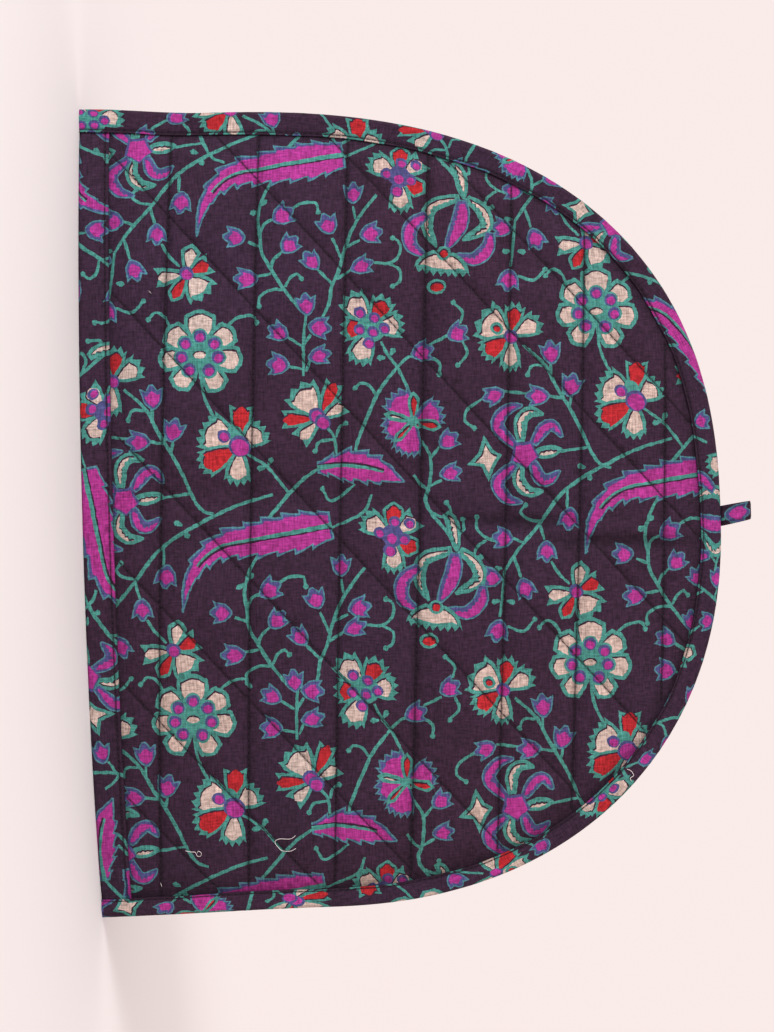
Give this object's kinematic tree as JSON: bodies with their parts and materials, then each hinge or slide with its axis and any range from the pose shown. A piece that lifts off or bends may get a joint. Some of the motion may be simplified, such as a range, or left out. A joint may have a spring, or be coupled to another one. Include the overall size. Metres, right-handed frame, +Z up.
{
  "type": "quilted cotton tea cosy",
  "caption": "Quilted D-shaped cotton tea cosy with an all-over flower print, bound round the arch, banded at the open hem, with a small loop on top.",
  "frame": {"origin": "on the floor, at the bottom centre of the whole cosy", "axes": "+X along the hem, +Y from the front panel to the back one, +Z up from the hem to the loop"},
  "size_m": [0.3518, 0.0688, 0.2878],
  "materials": {
    "quilted_panel": "matt plain-woven cotton, dark plum with printed teal, magenta, cream and red flowers",
    "binding_strip": "matt plain-woven cotton in the same print, folded and sewn"
  },
  "bodies": {
    "root": {"front_panel": "quilted_panel", "back_panel": "quilted_panel", "front_hem_band": "binding_strip", "back_hem_band": "binding_strip", "edge_binding": "binding_strip", "top_loop": "binding_strip"}
  },
  "joints": []
}
